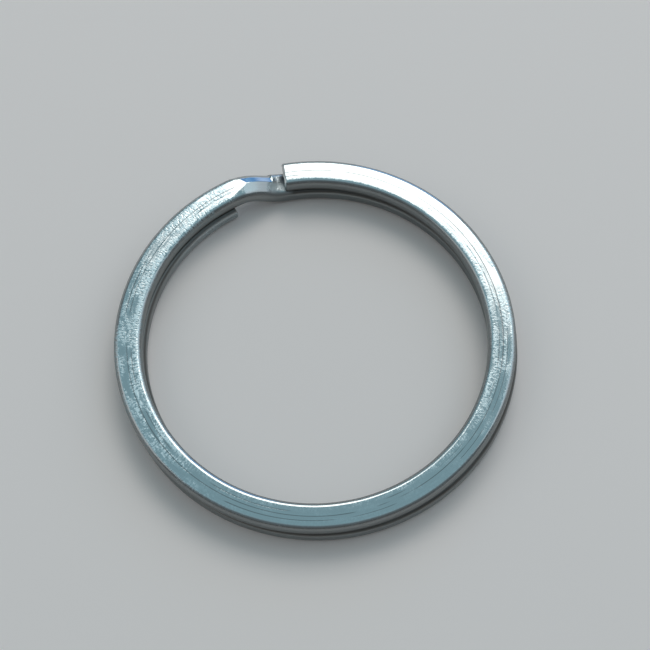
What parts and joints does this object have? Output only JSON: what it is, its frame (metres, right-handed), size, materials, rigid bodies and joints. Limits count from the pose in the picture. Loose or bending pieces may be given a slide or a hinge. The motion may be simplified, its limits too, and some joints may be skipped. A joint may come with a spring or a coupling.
{
  "type": "split ring",
  "caption": "Split key ring: one flat nickel-plated steel wire wound into a double turn, with a stepped crossover where keys are threaded on.",
  "frame": {"origin": "centre of the ring, on the level surface that it lies on", "axes": "+Z is the ring's axis, up from the underside of the lower turn; +Y points at the middle of the crossover, where the wire drops from the upper turn to the lower one"},
  "size_m": [0.0322, 0.0321, 0.0029],
  "materials": {
    "nickel_plated_steel": "satin nickel plate over drawn spring steel, with fine draw lines along the wire and light frosting"
  },
  "bodies": {
    "root": {"split_ring": "nickel_plated_steel"}
  },
  "joints": []
}
